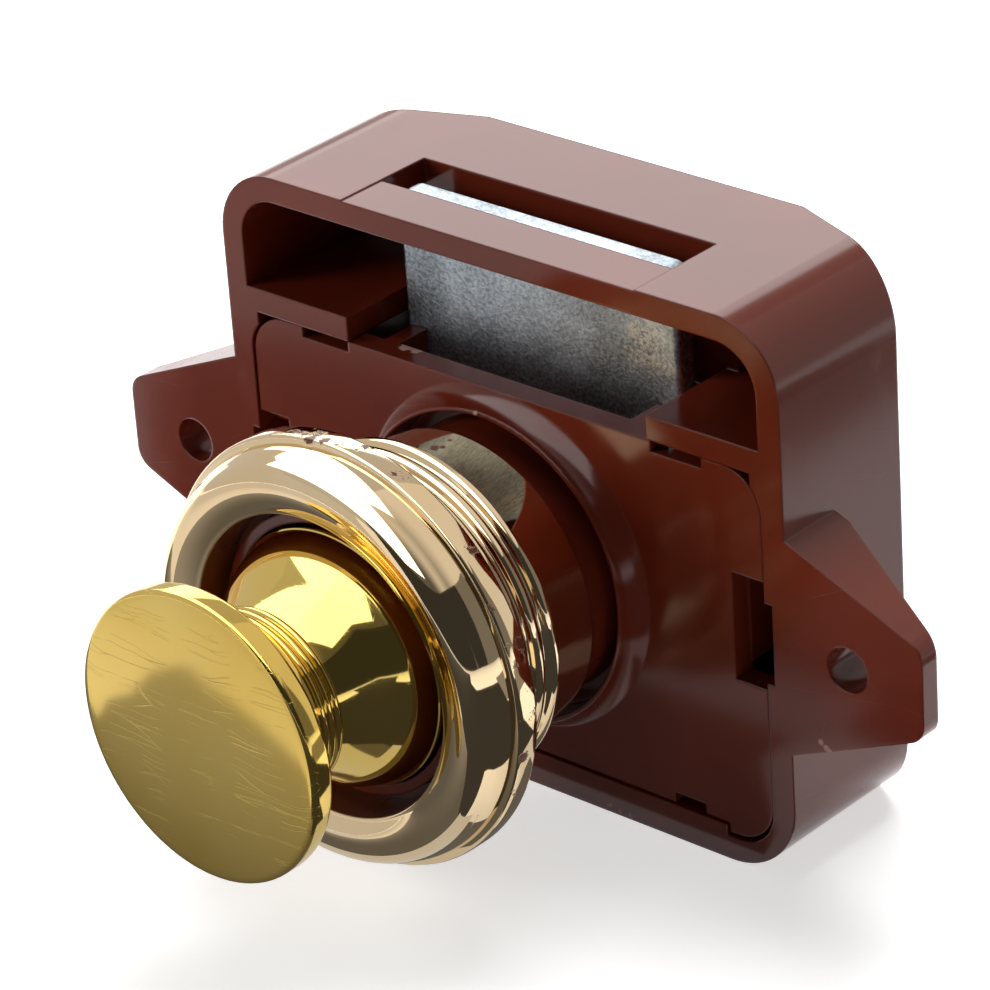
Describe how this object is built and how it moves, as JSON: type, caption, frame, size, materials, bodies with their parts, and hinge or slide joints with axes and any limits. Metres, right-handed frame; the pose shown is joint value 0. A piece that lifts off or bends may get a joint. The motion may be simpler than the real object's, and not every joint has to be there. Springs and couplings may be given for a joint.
{
  "type": "pushbutton lock",
  "caption": "Flush-mounted push-button furniture lock: moulded case with screw ears, sprung gilt button, sliding escutcheon and a bolt that rises out of the case.",
  "frame": {"origin": "on the button's axis, in the plane of the case's front rim, which is the face that meets the inside of the door", "axes": "+Z the way the bolt is thrown, -Y out of the door towards the hand, +X along the two screw ears"},
  "size_m": [0.0694, 0.0457, 0.0398],
  "materials": {
    "case_plastic": "reddish-brown moulded, glossy, lightly scuffed",
    "plated_plastic": "pale gold mirror plating over brown plastic, chipped on edges",
    "knob_brass": "gold-plated, polished, lightly scratched",
    "plunger_plastic": "black moulded",
    "zinc": "zinc-plated, mottled bluish",
    "spring_steel": "drawn wire and strip"
  },
  "bodies": {
    "lock_case": {"case": "case_plastic", "cover": "case_plastic", "leaf_spring": "spring_steel", "return_spring": "spring_steel"},
    "escutcheon_ring": {"escutcheon": "plated_plastic"},
    "button": {"knob": "knob_brass", "plunger": "plunger_plastic", "knob_screw": "spring_steel", "cross_pin": "spring_steel"},
    "latch_bolt": {"bolt": "zinc"},
    "track_follower": {"follower": "spring_steel"}
  },
  "joints": [
    {"name": "escutcheon_slide", "type": "slide", "parent": "lock_case", "child": "escutcheon_ring", "axis": [0, 1, 0], "range_m": [-0.0032, 0.0032]},
    {"name": "button_push", "type": "slide", "parent": "lock_case", "child": "button", "axis": [0, 1, 0], "range_m": [0, 0.009], "stiffness_N_per_m": 600, "springref_m": -0.006, "deforming": ["return_spring"]},
    {"name": "bolt_throw", "type": "slide", "parent": "lock_case", "child": "latch_bolt", "axis": [0, 0, 1], "range_m": [0, 0.0075]},
    {"name": "follower_swing", "type": "hinge", "parent": "lock_case", "child": "track_follower", "pos_m": [0, 0.0125, -0.0054], "axis": [0, 0, 1], "range_deg": [0, 12]}
  ],
  "couplings": [
    {"joint": "bolt_throw", "follows": "button_push", "ratio": 0.83333},
    {"joint": "follower_swing", "follows": "button_push", "rad_per_m": 23.271}
  ]
}
